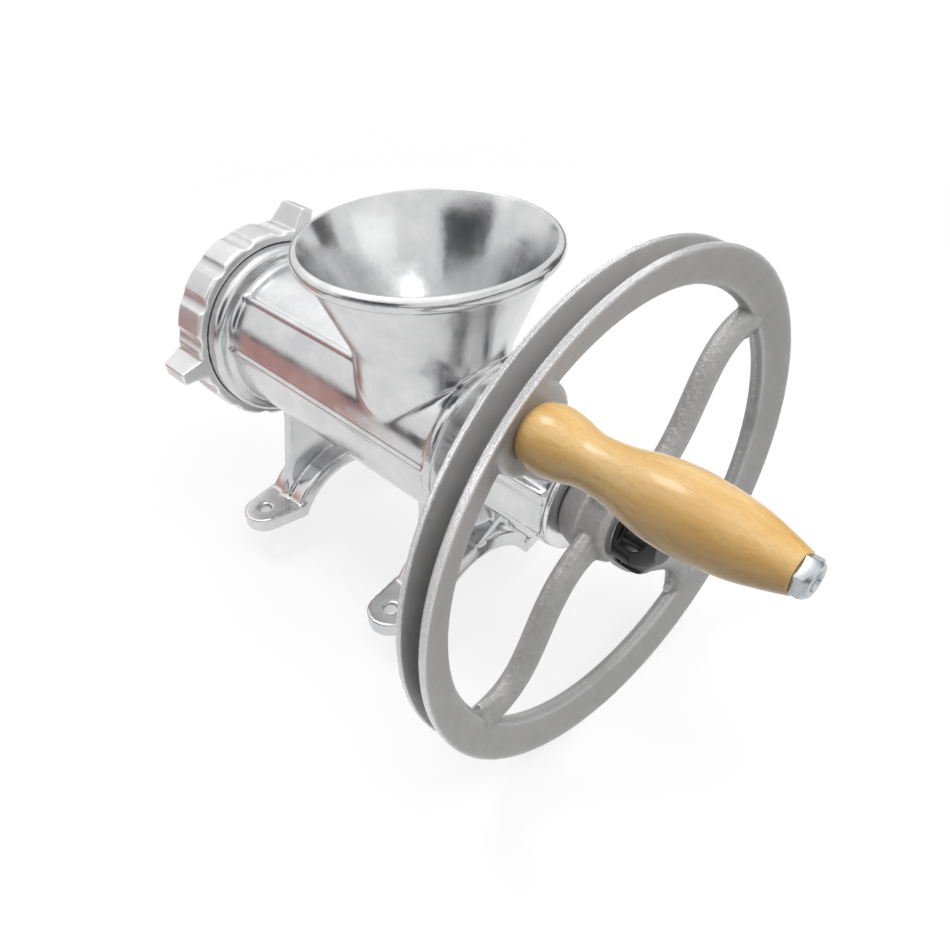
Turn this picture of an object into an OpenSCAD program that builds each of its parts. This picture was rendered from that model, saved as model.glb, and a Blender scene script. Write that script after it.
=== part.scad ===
// Large hand-cranked meat grinder with a belt-groove wheel, bolted to the edge of a bench.
// The shaft runs along Y: the plate and its ring nut face +Y, the wheel and its handle face -Y.
// Z is up. The origin is the middle of the four bench bolts, on the underside of the feet.

/* [Stand] */
// Height of the shaft above the bench
axis_h = 111.5; // [105:0.5:122]
// Distance between the bench bolts across the shaft
bolt_spacing_x = 123; // [112:1:140]
// Distance between the bench bolts along the shaft
bolt_spacing_y = 135; // [126:1:146]
// Radius of a bench bolt hole
bolt_hole_r = 4.5; // [3.5:0.25:6]
// Thickness of a foot
foot_t = 10; // [7:0.5:12]
// Radius of the rounded end of a foot
foot_end_r = 14.5; // [12:0.5:17]
// Half width of the leg strap at its underside
strap_half_w = 19; // [16:0.5:21]
// How much each side of the strap leans in towards its top
strap_draft = 3; // [1:0.5:4]
// Half span of the arch between two feet, at the bench
arch_half_span = 39; // [34:0.5:42]
// Height of the underside of the arch
arch_rise = 23.5; // [18:0.5:28]
// Thickness of the leg strap
strap_t = 9; // [6:0.5:12]
// Thickness of the upright web between strap and barrel
web_t = 6; // [4:0.5:9]
// Half width of the web where it meets the barrel
web_top_half = 31.5; // [24:0.5:36]

/* [Barrel] */
// Outer radius of the barrel
barrel_r = 47.6; // [45:0.2:51]
// Wall of the barrel
barrel_wall = 4.8; // [3.6:0.2:6]
// Distance from the bolt centre back to the rear wall
barrel_rear = 97; // [94:0.5:103]
// Thickness of the rear wall
rear_wall_t = 9; // [6:0.5:12]
// How far the bead round the rear end stands out
bead_h = 2.4; // [1:0.2:3.4]
// Outer radius of the bearing neck behind the barrel
neck_r = 29.5; // [26:0.5:33]
// Length of the bearing neck
neck_len = 59; // [50:0.5:66]
// Wall of the threaded collar round the plate
collar_wall = 7.6; // [6:0.2:10]
// Distance from the bolt centre to the shoulder of the collar
collar_start = 94; // [90:0.5:97]
// Length of the collar in front of its shoulder
collar_len = 30; // [27:0.5:33]
// Radius of the half-round ribs along the barrel
rib_r = 1.8; // [1:0.1:2.4]
// Angle of the upper ribs above the shaft's level
upper_rib_angle = 51.4; // [44:0.2:58]
// Angle of the lower ribs above the shaft's level
lower_rib_angle = 8; // [2:0.5:16]
// Radius of the ribs along the bearing neck
neck_rib_r = 2.2; // [1.4:0.1:3]
// Angle of the neck's upper ribs above the shaft's level
neck_rib_upper = 29; // [20:1:40]
// Angle of the neck's lower ribs below the shaft's level
neck_rib_lower = 17; // [8:1:26]
// How far the gusset reaches along the bearing neck
gusset_reach = 16; // [8:1:24]
// Thickness of the gusset under the bearing neck
gusset_t = 7; // [4:0.5:10]

/* [Hopper] */
// Distance of the hopper's centre behind the bolt centre
hopper_back = 49; // [44:0.5:52]
// Outer radius of the hopper at its rim
hopper_rim_r = 69.7; // [64:0.5:76]
// Height of the rim's top above the shaft
hopper_h = 106.5; // [98:0.5:116]
// Radius of the rounded rim bead
rim_bead_r = 4.4; // [3:0.2:5.4]
// Outer radius of the hopper's neck, where it meets the barrel
throat_r = 43; // [40:0.5:45]
// Height above the shaft where the neck opens into the cone
throat_h = 50; // [44:0.5:56]
// Wall of the hopper
hopper_wall = 5; // [3.6:0.2:6.4]

/* [Ring nut] */
// Wall of the ring nut outside its thread
nut_wall = 6.4; // [5:0.2:9]
// Length of the nut behind the plate
nut_skirt = 22.4; // [18:0.4:26]
// Thickness of the nut's front flange
nut_flange_t = 8; // [5:0.5:11]
// How far the nut's flange reaches over the plate
nut_lip = 5.5; // [4:0.5:9]
// Height of a spanner lug
lug_h = 15; // [10:0.5:19]
// Width of a spanner lug at its top
lug_w = 8; // [6:0.5:12]
// Angle of the first lug above the shaft's level
lug_angle = 65; // [55:1:75]
// Depth of the grip flutes between the lugs
flute_depth = 2.2; // [1.2:0.2:3]
// Travel of the nut for one turn
nut_pitch = 6; // [3:0.5:8]

/* [Plate and knife] */
// How far the grinding plate reaches past the knife
plate_rim = 4.5; // [3.5:0.1:6]
// Thickness of the grinding plate
plate_t = 10; // [8:0.5:13]
// How deep the plate sits in the collar
plate_seat = 7; // [5:0.5:8]
// Radius of a hole in the plate
plate_hole_r = 4; // [3:0.25:4.5]
// Distance between neighbouring holes in the plate
plate_hole_pitch = 10.6; // [9.6:0.1:14]
// How far the plate's key is driven in behind the plate
key_root = 3; // [2:0.5:5]
// Radius of the key that stops the plate from turning
key_r = 2.5; // [2:0.25:3]
// Radius that the knife's blades reach
knife_r = 45; // [40:0.5:46]
// Thickness of the knife at its hub
knife_t = 12; // [9:0.5:14]
// Thickness of a blade
blade_t = 7; // [5:0.5:9]
// Side of the square that drives the knife
square_w = 16; // [13:0.5:18]

/* [Auger and shaft] */
// Travel of the auger's flight in one turn
flight_pitch = 50; // [40:1:60]
// Thickness of the flight at its tip
flight_tip_t = 4.5; // [3:0.5:7]
// Thickness of the flight at its root
flight_root_t = 8; // [6:0.5:11]
// Radius of the auger's core at the rear
core_rear_r = 21; // [18:0.5:24]
// Radius of the auger's core at the front
core_front_r = 17; // [15:0.5:20]
// Radius of the shaft in its bearing
shaft_r = 11; // [10:0.25:12.5]
// Length of the shaft inside the auger
shaft_hold = 45; // [36:1:54]
// Radius of the pin through auger and shaft
cross_pin_r = 3; // [2:0.25:4]
// Wall of the bearing bush
bush_wall = 4; // [3:0.25:6]
// Thickness of the thrust washer behind the auger
thrust_t = 3; // [2:0.25:5]
// Distance across the two driving flats of the shaft
drive_flats = 16; // [13:0.5:18]
// How far the shaft's driven end stays inside the hub
shaft_short = 3; // [1:0.5:5]
// Radius of the shaft's driven end
drive_r = 10; // [9:0.25:10]
// Length of the knife stud's shank in the auger
stud_hold = 38; // [28:1:46]
// Radius of the knife stud's shank in the auger
stud_shank_r = 9; // [7:0.25:10]
// Radius of the stud's pilot in the plate
pilot_r = 7.8; // [6:0.2:8]

/* [Pulley wheel] */
// Outer radius of the wheel
wheel_r = 135; // [125:1:150]
// Width of the wheel's rim at the outside
rim_w = 18.6; // [16:0.2:22]
// Radial depth of the rim
rim_depth = 18; // [15:0.5:22]
// Depth of the belt groove
groove_depth = 11; // [8:0.5:12]
// Width of the lip on the handle side of the groove
lip_near = 4.5; // [3:0.1:5]
// Width of the lip on the barrel side of the groove
lip_far = 3; // [2.2:0.1:4]
// Half angle of the belt groove
groove_angle = 17; // [12:0.5:19]
// Largest radius of the hub
hub_r = 25.5; // [22:0.5:30]
// Length of the hub
hub_len = 28.5; // [24:0.5:32]
// Distance from the hub's inner end to the middle of the rim
rim_offset = 20.8; // [17:0.2:24]
// Half width of a spoke at its middle
spoke_half_w = 8; // [6:0.2:11]
// Half thickness of a spoke
spoke_half_t = 6.1; // [4.5:0.1:8]
// How far the spokes stand from the middle of the rim towards the barrel
spoke_set = 1.2; // [0:0.1:2]
// Angle by which a spoke swings on its way out
spoke_swing = 25.5; // [10:0.5:35]
// Thickness of the washer between neck and hub
hub_washer_t = 2.4; // [1.5:0.1:4]

/* [Handle] */
// Distance of the handle's axis inside the wheel's outer edge
handle_inset = 17.7; // [15:0.5:24]
// Angle of the handle above the shaft's level, as it rests
handle_angle = 128; // [100:1:150]
// How far the boss stands out past the rim's face beside the grip
boss_proud = 0.4; // [0.3:0.1:3]
// Radius of the boss that carries the handle
boss_r = 20; // [17:0.5:23]
// Length of the wooden grip
grip_len = 107.2; // [95:0.1:125]
// Radius of the bulb next to the wheel
grip_bulb_r = 14; // [12.5:0.25:16]
// Radius of the narrow neck of the grip
grip_neck_r = 10.7; // [9.5:0.1:12]
// Largest radius of the grip
grip_swell_r = 15.2; // [13:0.25:17]
// Radius of the grip at the bolt's head
grip_end_r = 7.8; // [7.4:0.1:9]
// Radius of the handle bolt
bolt_r = 4; // [3:0.25:4.5]
// Width of the bolt's hexagon and its nut's
hex_flats = 13; // [11:0.5:14]
// Height of the bolt's head
bolt_head_t = 5; // [4:0.25:7]
// Depth of the dish in the end of the bolt's head
head_dish = 0.8; // [0.4:0.1:1.6]
// Height of the handle nut
nut_t = 6.5; // [5:0.25:8]
// Wall of the sleeve that the grip turns on
sleeve_wall = 1.8; // [1.2:0.1:2.2]
// Thickness of the spring washer
spring_washer_t = 2; // [1.4:0.1:3]

/* [Thumb screw] */
// Outer radius of the knob
knob_r = 19.2; // [17:0.2:23]
// Length of the knob
knob_len = 20; // [16:0.5:24]
// Number of finger hollows round the knob
knob_lobes = 6; // [5:1:8]
// Radius of the screw
screw_r = 6; // [5:0.25:6.5]
// Length of the screw in the shaft
screw_hold = 24; // [18:0.5:28]
// Thickness of the washer under the knob
knob_washer_t = 1.8; // [1.2:0.1:3]
// Radius of the washer under the knob
knob_washer_r = 16; // [13:0.5:18]

/* [Clearances] */
// Radial clearance of a shaft that turns in its bearing
run_gap = 0.05; // [0.02:0.01:0.1]
// Clearance of a piece that drops into its seat
slip_gap = 0.3; // [0.2:0.05:0.5]
// Clearance between faces that turn past each other
face_gap = 0.15; // [0.1:0.05:0.3]
// Clearance of a driven or pinned fit
fit_gap = 0.02; // [0.01:0.01:0.04]
// Radial clearance of the auger in the barrel
flight_gap = 0.6; // [0.4:0.1:1.2]

/* [Hidden] */
$fn = 96;
spoke_count = 4;
lug_count = 3;
flutes_per_lug = 5;
blade_count = 4;
past = 1;

// Stations along the shaft, from the front to the back
collar_end = collar_start + collar_len;
plate_back = collar_end - plate_seat;
plate_front = plate_back + plate_t;
nut_back = plate_front - nut_skirt;
nut_front = plate_front + nut_flange_t;
knife_front = plate_back - face_gap;
knife_back = knife_front - knife_t;
auger_front = knife_back - face_gap;
rear_face = -barrel_rear;
bore_end = rear_face + rear_wall_t;
auger_back = bore_end + thrust_t + face_gap;
neck_end = rear_face - neck_len;
hub_front = neck_end - face_gap - hub_washer_t;
hub_back = hub_front - hub_len;
rim_mid = hub_front - rim_offset;
shaft_end = hub_back + shaft_short;
knob_base = hub_back - knob_washer_t;

// Radii that follow from the driving sizes
bore_r = barrel_r - barrel_wall;
chamber_r = max(bore_r, knife_r + past);
plate_r = knife_r + plate_rim;
seat_r = plate_r + slip_gap;
collar_r = seat_r + collar_wall;
nut_mouth_r = plate_r - nut_lip;
bush_r = shaft_r + bush_wall;
flight_r = bore_r - flight_gap;
nut_bore_r = collar_r + slip_gap;
nut_r = nut_bore_r + nut_wall;
rim_in_r = wheel_r - rim_depth;
face_slope = tan(groove_angle);
sleeve_r = bolt_r + run_gap + sleeve_wall;
handle_r = wheel_r - handle_inset;
grip_foot_r = grip_bulb_r*0.76;
boss_face = rim_mid - rim_w/2 + (handle_inset - grip_foot_r)*face_slope - boss_proud;
boss_back = rim_mid + rim_w/2;
head_seat = boss_face - grip_len - 2*face_gap;

// The arch of a leg is a circle through both feet and the crown
arch_r = (arch_half_span*arch_half_span + arch_rise*arch_rise)/(2*arch_rise);
arch_z = arch_rise - arch_r;
strap_r = arch_r + strap_t;
fold_x = sqrt(strap_r*strap_r - pow(foot_t - arch_z, 2));
web_top_z = axis_h - sqrt(barrel_r*barrel_r - web_top_half*web_top_half);

function arc(c, r, a0, a1, n) =
  [for (i = [0:n]) let (a = a0 + (a1 - a0)*i/n) [c[0] + r*cos(a), c[1] + r*sin(a)]];

// A smooth curve through a list of [station, radius] pairs
function blend(a, b, c, d, t) =
  0.5*(2*b + (c - a)*t + (2*a - 5*b + 4*c - d)*t*t + (3*b - a - 3*c + d)*t*t*t);
function curve(p, n) = [
  for (i = [0:len(p) - 2], k = [0:n - 1])
    blend(p[max(i - 1, 0)], p[i], p[i + 1], p[min(i + 2, len(p) - 1)], k/n),
  p[len(p) - 1]
];

// Triangles that skin a row of rings, each of m points, and close both ends
function skin(rings, m) = concat(
  [for (i = [0:rings - 2], j = [0:m - 1]) [i*m + j, (i + 1)*m + j, i*m + (j + 1)%m]],
  [for (i = [0:rings - 2], j = [0:m - 1]) [i*m + (j + 1)%m, (i + 1)*m + j, (i + 1)*m + (j + 1)%m]],
  [for (j = [1:m - 2]) [0, j, j + 1]],
  [for (j = [1:m - 2], b = [(rings - 1)*m]) [b, b + j + 1, b + j]]
);

// Turn a child that is drawn along Z so that it lies along the shaft
module on_shaft(y = 0, angle = 0) {
  translate([0, y, axis_h]) rotate([-90, 0, 0]) rotate([0, 0, -angle]) children();
}

// A turned piece on the shaft from its [radius, y] outline
module turned(outline) {
  on_shaft() rotate_extrude() polygon(outline);
}

// A plain disc or tube on the shaft between two stations
module ring(y0, y1, outer, inner = 0) {
  turned([[inner, y0], [outer, y0], [outer, y1], [inner, y1]]);
}

module at_handle() {
  translate([handle_r*cos(handle_angle), 0, axis_h + handle_r*sin(handle_angle)]) children();
}

module handle_ring(y0, y1, outer, inner = 0, sides = 96) {
  at_handle() translate([0, y0, 0]) rotate([-90, 0, 0]) difference() {
    rotate([0, 0, 30]) cylinder(r = outer, h = y1 - y0, $fn = sides);
    if (inner > 0) translate([0, 0, -past]) cylinder(r = inner, h = y1 - y0 + 2*past);
  }
}

// Barrel, collar and bearing neck as one turned form
module barrel_form() {
  step = (collar_r - barrel_r)/2;
  bead = bead_h/2;
  root = 5;
  turned(concat(
    [[0, neck_end], [neck_r - 1, neck_end], [neck_r, neck_end + 1]],
    arc([neck_r + root + 0.5, rear_face - root], root, 180, 90, 4),
    arc([barrel_r - 2 + bead_h, rear_face + 2], 2, -90, 0, 3),
    [[barrel_r + bead_h, rear_face + 5], [barrel_r + bead, rear_face + 6.5], [barrel_r, rear_face + 7.5]],
    arc([barrel_r + step, collar_start - step], step, 180, 105, 5),
    arc([barrel_r + step, collar_start + step], step, -75, 0, 5),
    [[collar_r, collar_end - 1.5], [collar_r - 1.5, collar_end], [0, collar_end]]
  ));
}

// Room for the auger, the knife and the plate
module barrel_room() {
  ease = chamber_r - bore_r + 2;
  turned([
    [0, bore_end], [bore_r, bore_end], [bore_r, knife_back - past - ease], [chamber_r, knife_back - past],
    [chamber_r, plate_back], [seat_r, plate_back], [seat_r, collar_end + past], [0, collar_end + past]
  ]);
}

// Round hopper: rolled rim, cone and upright neck
module hopper_form() {
  lip = hopper_rim_r - rim_bead_r;
  top = hopper_h - rim_bead_r;
  bend = 14;
  translate([0, -hopper_back, axis_h]) rotate_extrude() union() {
    translate([lip, top]) circle(r = rim_bead_r, $fn = 48);
    polygon(concat(
      [[0, 0], [throat_r, 0]],
      curve([[throat_r, throat_h - bend], [throat_r + 1.6, throat_h], [throat_r + 7, throat_h + bend],
             [lip, top - rim_bead_r*0.4]], 5),
      [[lip, top + rim_bead_r*0.7], [0, top + rim_bead_r*0.7]]
    ));
  }
}

module hopper_room() {
  mouth = hopper_rim_r - 2*rim_bead_r + 0.6;
  inner = throat_r - hopper_wall;
  bend = 14;
  translate([0, -hopper_back, axis_h]) rotate_extrude() polygon(concat(
    [[0, 0], [inner, 0]],
    curve([[inner, throat_h - bend], [inner + 1.6, throat_h], [inner + 7, throat_h + bend],
           [mouth, hopper_h - rim_bead_r]], 5),
    [[mouth, hopper_h + past], [0, hopper_h + past]]
  ));
}

module foot(side) {
  lean = atan((strap_half_w - foot_end_r)/(bolt_spacing_x/2 - arch_half_span));
  translate([side*bolt_spacing_x/2, 0, 0]) linear_extrude(foot_t) union() {
    circle(r = foot_end_r);
    polygon([
      [side*foot_end_r*sin(lean), foot_end_r*cos(lean)],
      [-side*(bolt_spacing_x/2 - arch_half_span), strap_half_w],
      [-side*(bolt_spacing_x/2 - arch_half_span), -strap_half_w],
      [side*foot_end_r*sin(lean), -foot_end_r*cos(lean)]
    ]);
  }
}

// One leg frame: arched strap, two feet and the upright web below the barrel
module leg_frame(y) {
  translate([0, y, 0]) {
    difference() {
      translate([0, 0, arch_z]) rotate([90, 0, 0]) rotate_extrude() polygon([
        [arch_r, -strap_half_w], [strap_r, strap_draft - strap_half_w],
        [strap_r, strap_half_w - strap_draft], [arch_r, strap_half_w]
      ]);
      translate([0, 0, -axis_h - strap_r]) cube(2*(axis_h + strap_r), center = true);
    }
    for (side = [-1, 1]) foot(side);
    rotate([90, 0, 0]) linear_extrude(web_t, center = true) difference() {
      polygon([[-fold_x, foot_t - 1], [-web_top_half, web_top_z], [-web_top_half, axis_h],
               [web_top_half, axis_h], [web_top_half, web_top_z], [fold_x, foot_t - 1]]);
      translate([0, arch_z]) circle(r = arch_r + strap_t/2);
    }
  }
}

// Half-round ribs, in mirrored pairs, along a stretch of the shaft
module rib_pair(y0, y1, r, rib, angle) {
  for (a = [angle, 180 - angle])
    on_shaft(y0, a) translate([r, 0, 0]) cylinder(r = rib, h = y1 - y0, $fn = 32);
}

module body_casting() {
  leg_y = bolt_spacing_y/2;
  leg_back = -leg_y - strap_half_w + strap_draft;
  color("silver") difference() {
    union() {
      barrel_form();
      hopper_form();
      for (y = [-leg_y, leg_y]) leg_frame(y);
      rib_pair(-hopper_back, collar_start + 1, barrel_r, rib_r, upper_rib_angle);
      rib_pair(rear_face + 4, collar_start + 1, barrel_r, rib_r, lower_rib_angle);
      rib_pair(neck_end + 2, rear_face + 2, neck_r, neck_rib_r, neck_rib_upper);
      rib_pair(neck_end + 2, rear_face + 2, neck_r, neck_rib_r, -neck_rib_lower);
      rotate([90, 0, 90]) linear_extrude(gusset_t, center = true) polygon([
        [-leg_y, arch_rise + strap_t/2], [leg_back, arch_rise + strap_t - 1],
        [rear_face - gusset_reach, axis_h - neck_r + 2], [-leg_y, axis_h - neck_r + 2]
      ]);
    }
    barrel_room();
    hopper_room();
    ring(neck_end - past, bore_end + past, bush_r + fit_gap);
    key_place(key_r + fit_gap, plate_seat + key_root + past);
    for (x = [-1, 1], y = [-1, 1])
      translate([x*bolt_spacing_x/2, y*leg_y, -past]) cylinder(r = bolt_hole_r, h = foot_t + 2*past);
  }
}

module rear_bush() {
  color("peru") ring(neck_end, bore_end, bush_r, shaft_r + run_gap);
}

module thrust_washer() {
  color("sienna") ring(bore_end, bore_end + thrust_t, core_rear_r - 1, shaft_r + slip_gap);
}

// The key stands at the top of the plate's seat, half in the collar and half in the plate
module key_place(r, length) {
  on_shaft(plate_back - key_root, 90) translate([seat_r, 0, 0]) cylinder(r = r, h = length);
}

module plate_key() {
  color("dimgray") key_place(key_r, plate_seat + key_root);
}

module ring_nut() {
  lug_r = nut_r + lug_h;
  foot_w = lug_w + 4;
  sector = 360/lug_count;
  flute_step = sector/(flutes_per_lug + 0.4);
  flute_r = 7;
  color("gainsboro") difference() {
    union() {
      turned([
        [nut_bore_r, nut_back], [nut_r - 1.5, nut_back], [nut_r, nut_back + 1.5], [nut_r, nut_front - 4],
        [nut_r - 4, nut_front], [nut_mouth_r + 3, nut_front], [nut_mouth_r, nut_front - 3],
        [nut_mouth_r, plate_front], [nut_bore_r, plate_front]
      ]);
      for (k = [0:lug_count - 1]) on_shaft(0, lug_angle + k*sector) intersection() {
        rotate([90, 0, 0]) linear_extrude(2*foot_w, center = true) polygon([
          [nut_bore_r + 2, nut_back], [lug_r, nut_back], [lug_r, nut_front - 7.5], [nut_r - 1, nut_front - 1],
          [nut_bore_r + 2, nut_front - 2]
        ]);
        translate([0, 0, nut_back - past]) linear_extrude(nut_front - nut_back + 2*past) polygon([
          [0, -foot_w/2], [nut_r, -foot_w/2], [lug_r, -lug_w/2],
          [lug_r, lug_w/2], [nut_r, foot_w/2], [0, foot_w/2]
        ]);
      }
    }
    for (k = [0:lug_count - 1], j = [0:flutes_per_lug - 1])
      on_shaft(nut_back - past, lug_angle + sector*(k + 0.5) + flute_step*(j - (flutes_per_lug - 1)/2))
        translate([nut_r + flute_r - flute_depth, 0, 0])
          cylinder(r = flute_r, h = nut_front - nut_back + 2*past);
  }
}

// Holes in rows of sixty degrees, as far out as the nut's mouth shows them
module plate_holes() {
  rows = floor((nut_mouth_r - plate_hole_r)/(plate_hole_pitch*sin(60)));
  for (i = [-rows:rows], j = [-2*rows:2*rows]) {
    x = (j + i/2)*plate_hole_pitch;
    y = i*plate_hole_pitch*sin(60);
    reach = sqrt(x*x + y*y);
    if (reach > pilot_r + plate_hole_r + 2.4 && reach < nut_mouth_r - plate_hole_r)
      translate([x, y, -past]) cylinder(r = plate_hole_r, h = plate_t + 2*past, $fn = 32);
  }
}

module grinding_plate() {
  color("lightsteelblue") on_shaft(plate_back) difference() {
    cylinder(r = plate_r, h = plate_t);
    translate([0, 0, -past]) cylinder(r = pilot_r + slip_gap, h = plate_t + 2*past);
    rotate([0, 0, -90]) translate([seat_r, 0, -past]) cylinder(r = key_r + slip_gap, h = plate_t + 2*past);
    plate_holes();
  }
}

// Four swept blades round a hub with a square hole, sharp on the plate's side
module cutting_knife() {
  hub = square_w*0.72 + 4;
  square_hole = square_w + 2*fit_gap;
  color("slategray") on_shaft(knife_back) difference() {
    union() {
      cylinder(r = hub, h = knife_t);
      for (k = [0:blade_count - 1]) rotate([0, 0, k*360/blade_count]) translate([0, 0, knife_t - blade_t])
        linear_extrude(blade_t) intersection() {
          polygon([[0, -hub*0.62], [knife_r*0.6, -hub*0.55], [knife_r + 2, -hub*0.1], [knife_r + 2, hub*0.62],
                   [knife_r*0.6, hub*0.3], [0, hub*0.62]]);
          circle(r = knife_r);
        }
    }
    for (k = [0:blade_count - 1]) rotate([0, 0, k*360/blade_count])
      translate([hub + 2, -hub, knife_t - blade_t - 1]) rotate([0, 0, 8]) rotate([-28, 0, 0])
        cube([2*knife_r, hub*0.7, blade_t*0.8]);
    translate([0, 0, knife_t/2]) cube([square_hole, square_hole, knife_t + 2*past], center = true);
  }
}

module knife_stud() {
  color("gray") union() {
    ring(auger_front - stud_hold, auger_front, stud_shank_r);
    on_shaft(auger_front) translate([0, 0, (knife_front - auger_front)/2])
      cube([square_w, square_w, knife_front - auger_front], center = true);
    ring(knife_front - past, plate_front - 2, pilot_r);
  }
}

// Core radius of the auger at a station on the shaft
function core_r(y) = core_rear_r + (core_front_r - core_rear_r)*(y - auger_back)/(auger_front - auger_back);

module flight() {
  y0 = auger_back + flight_root_t;
  y1 = auger_front - flight_root_t;
  steps = ceil((y1 - y0)/flight_pitch*30);
  points = [
    for (i = [0:steps])
      let (y = y0 + (y1 - y0)*i/steps, a = 360*(y - y0)/flight_pitch, root = core_r(y) - 3)
        for (p = [[root, -flight_root_t/2], [root, flight_root_t/2],
                  [flight_r, flight_tip_t/2], [flight_r, -flight_tip_t/2]])
          [p[0]*cos(a), p[0]*sin(a), y + p[1]]
  ];
  on_shaft() polyhedron(points, skin(steps + 1, 4));
}

module auger() {
  color("lightgray") difference() {
    union() {
      turned([[0, auger_back], [core_rear_r, auger_back], [core_front_r, auger_front], [0, auger_front]]);
      flight();
    }
    ring(auger_back - past, auger_back + shaft_hold, shaft_r + fit_gap);
    ring(auger_front - stud_hold, auger_front + past, stud_shank_r + fit_gap);
    pin_place(cross_pin_r + fit_gap, 2*core_rear_r + 2);
  }
}

module pin_place(r, length) {
  on_shaft(auger_back + shaft_hold*0.6) rotate([0, 90, 0])
    cylinder(r = r, h = length, center = true, $fn = 48);
}

// Round bar with two flats, which turns shaft and wheel together
module drive_form(y0, y1, gap) {
  flats = drive_flats + 2*gap;
  on_shaft(y0) intersection() {
    cylinder(r = drive_r + gap, h = y1 - y0);
    translate([-flats/2, -2*drive_r, 0]) cube([flats, 4*drive_r, y1 - y0]);
  }
}

module auger_shaft() {
  color("darkgray") difference() {
    union() {
      ring(hub_front, auger_back + shaft_hold - 0.5, shaft_r);
      drive_form(shaft_end, hub_front + past, 0);
    }
    ring(shaft_end - past, shaft_end + screw_hold + 3, screw_r + 2*run_gap);
    pin_place(cross_pin_r + fit_gap, 2*core_rear_r);
  }
}

module cross_pin() {
  color("dimgray") pin_place(cross_pin_r, 2*core_front_r + 3);
}

module hub_washer() {
  color("whitesmoke") ring(hub_front, hub_front + hub_washer_t, neck_r - 1, shaft_r + slip_gap);
}

// Angle of a spoke's middle line at radius r, measured from its end at the rim
function spoke_turn(r) = spoke_swing*(pow(abs(sin(90*(r - hub_r + 3.5)/(wheel_r*0.533))), 1.35) - 0.863);
function spoke_at(r) = [r*cos(spoke_turn(r)), r*sin(spoke_turn(r))];

module spoke() {
  stations = 14;
  sides = 12;
  r0 = hub_r*0.7;
  r1 = rim_in_r + 3;
  points = [
    for (i = [0:stations])
      let (
        s = i/stations,
        r = r0 + (r1 - r0)*s,
        c = spoke_at(r),
        d = spoke_at(r + 0.5) - spoke_at(r - 0.5),
        u = [-d[1], d[0]]/norm(d),
        w = spoke_half_w*(1 + 0.6*pow(abs(2*s - 1), 5)),
        t = spoke_half_t*(1 - 0.4*pow(s, 6))
      )
        for (j = [0:sides - 1])
          let (a = 360*j/sides) [c[0] + u[0]*w*cos(a), c[1] + u[1]*w*cos(a), t*sin(a)]
  ];
  polyhedron(points, skin(stations + 1, sides));
}

// Rim with cone-shaped side faces and a parting ridge on its inside
module rim_form() {
  half = rim_w/2;
  inner = half - rim_depth*face_slope;
  turned([for (p = [
    [wheel_r + past, -half], [wheel_r + past, half], [wheel_r, half],
    [rim_in_r, inner], [rim_in_r - 1.6, 0], [rim_in_r, -inner], [wheel_r, -half]
  ]) [p[0], rim_mid + p[1]]]);
}

// Belt groove, with walls along the rim's side faces, and all that lies outside the wheel
module belt_room() {
  half = rim_w/2;
  floor_r = wheel_r - groove_depth;
  drop = groove_depth*face_slope;
  turned([for (p = [
    [wheel_r + boss_r, -rim_w], [wheel_r, -rim_w], [wheel_r, lip_near - half],
    [floor_r, lip_near + drop - half], [floor_r, half - lip_far - drop],
    [wheel_r, half - lip_far], [wheel_r, rim_w], [wheel_r + boss_r, rim_w]
  ]) [p[0], rim_mid + p[1]]]);
}

module hub_form() {
  edge = hub_r*0.14;
  turned(concat(
    [[0, hub_front]],
    arc([hub_r - 2*edge, hub_front - edge], edge, 90, 20, 3),
    [[hub_r, hub_front - hub_len*0.5]],
    [[hub_r - edge, hub_back + 2.5], [hub_r - edge - 2.5, hub_back], [0, hub_back]]
  ));
}

module pulley_wheel() {
  color("darkgray") difference() {
    union() {
      rim_form();
      hub_form();
      for (k = [0:spoke_count - 1]) on_shaft(rim_mid + spoke_set, handle_angle + k*360/spoke_count)
        mirror([0, 1, 0]) spoke();
      handle_ring(boss_face, boss_back, boss_r);
    }
    drive_form(hub_back - past, hub_front + past, fit_gap);
    handle_ring(boss_face - past, boss_back + past, bolt_r + slip_gap);
    belt_room();
  }
}

// Hexagon-headed bolt, chamfered round the end of its head and dished in the middle
module handle_bolt() {
  nut_end = boss_back + spring_washer_t + nut_t;
  head_end = head_seat - bolt_head_t;
  flat_r = hex_flats/2;
  face_r = flat_r*0.87;
  dish_r = face_r*0.8;
  color("lightgray") difference() {
    union() {
      intersection() {
        handle_ring(head_end, head_seat, flat_r/cos(30), 0, 6);
        at_handle() translate([0, head_end, 0]) rotate([-90, 0, 0])
          cylinder(r1 = face_r, r2 = face_r + bolt_head_t, h = bolt_head_t);
      }
      handle_ring(head_seat - past, nut_end + 2, bolt_r);
    }
    at_handle() translate([0, head_end - past, 0]) rotate([-90, 0, 0])
      cylinder(r1 = dish_r, r2 = dish_r*0.7, h = head_dish + past);
  }
}

module grip_sleeve() {
  color("gray") handle_ring(head_seat, boss_face, sleeve_r, bolt_r + run_gap);
}

// Turned hardwood grip with a bulb, a neck, a swell and a tapered end
module wooden_grip() {
  outline = curve([
    [grip_foot_r, 0], [grip_bulb_r*0.93, 0.03], [grip_bulb_r, 0.09], [grip_bulb_r*0.93, 0.16],
    [grip_neck_r + 0.3, 0.235], [grip_neck_r, 0.29], [grip_neck_r*1.09, 0.38], [grip_swell_r*0.94, 0.5],
    [grip_swell_r, 0.6], [grip_swell_r*0.97, 0.7], [grip_swell_r*0.87, 0.82], [grip_swell_r*0.69, 0.92],
    [grip_end_r, 1]
  ], 3);
  bore = sleeve_r + run_gap;
  color("burlywood") at_handle() translate([0, boss_face - face_gap, 0]) rotate([90, 0, 0]) rotate_extrude()
    polygon(concat([[bore, 0]], [for (p = outline) [p[0], p[1]*grip_len]], [[bore, grip_len]]));
}

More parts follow.
